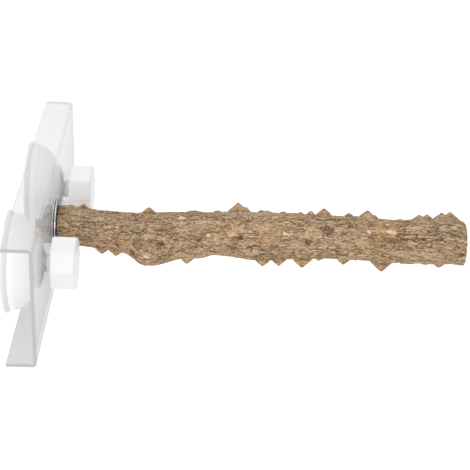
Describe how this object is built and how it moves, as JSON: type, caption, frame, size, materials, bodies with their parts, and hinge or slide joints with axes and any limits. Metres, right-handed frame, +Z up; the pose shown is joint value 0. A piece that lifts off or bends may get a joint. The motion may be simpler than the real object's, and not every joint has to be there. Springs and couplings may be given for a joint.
{
  "type": "bird shower perch",
  "caption": "Thorny natural wood perch held out from a clear channel bracket, with screw-down suction cups for a shower wall or window.",
  "frame": {"origin": "in the wall's surface, midway between the two suction cups", "axes": "+X out of the wall along the perch, +Y along the wall from the left cup to the right cup, +Z up"},
  "size_m": [0.2709, 0.2, 0.075],
  "materials": {
    "clear_acrylic": "clear polished sheet with sawn, faintly brown edges",
    "soft_vinyl": "soft translucent vinyl",
    "white_plastic": "moulded, semi-gloss white",
    "polished_steel": "polished",
    "thorny_bark": "dry fissured bark with corky thorns and sawn ends"
  },
  "bodies": {
    "bracket": {"acrylic_channel": "clear_acrylic", "left_suction_disc": "soft_vinyl", "right_suction_disc": "soft_vinyl", "left_pressure_dome": "white_plastic", "right_pressure_dome": "white_plastic"},
    "left_knob": {"left_knob": "white_plastic"},
    "left_post": {"left_cup_post": "white_plastic"},
    "right_knob": {"right_knob": "white_plastic"},
    "right_post": {"right_cup_post": "white_plastic"},
    "perch": {"perch_branch": "thorny_bark", "perch_stud": "polished_steel", "front_washer": "polished_steel"},
    "rear_washer": {"rear_washer": "polished_steel"},
    "nut": {"rear_nut": "polished_steel"}
  },
  "joints": [
    {"name": "left_knob_turn", "type": "hinge", "parent": "bracket", "child": "left_knob", "pos_m": [0.03, -0.0475, 0], "axis": [-1, 0, 0], "range_deg": [0, 540]},
    {"name": "left_post_draw", "type": "slide", "parent": "bracket", "child": "left_post", "axis": [1, 0, 0], "range_m": [0, 0.003], "deforming": ["left_suction_disc"]},
    {"name": "right_knob_turn", "type": "hinge", "parent": "bracket", "child": "right_knob", "pos_m": [0.03, 0.0475, 0], "axis": [-1, 0, 0], "range_deg": [0, 540]},
    {"name": "right_post_draw", "type": "slide", "parent": "bracket", "child": "right_post", "axis": [1, 0, 0], "range_m": [0, 0.003], "deforming": ["right_suction_disc"]},
    {"name": "perch_turn", "type": "hinge", "parent": "bracket", "child": "perch", "pos_m": [0.022, 0, 0], "axis": [1, 0, 0], "continuous": true},
    {"name": "nut_turn", "type": "hinge", "parent": "perch", "child": "rear_washer", "pos_m": [0.0192, 0, 0], "axis": [-1, 0, 0], "range_deg": [0, 1080]},
    {"name": "nut_back_off", "type": "slide", "parent": "rear_washer", "child": "nut", "axis": [-1, 0, 0], "range_m": [0, 0.003]}
  ],
  "couplings": [
    {"joint": "left_post_draw", "follows": "left_knob_turn", "m_per_rad": 0.0003183},
    {"joint": "right_post_draw", "follows": "right_knob_turn", "m_per_rad": 0.0003183},
    {"joint": "nut_back_off", "follows": "nut_turn", "m_per_rad": 0.00015915}
  ]
}
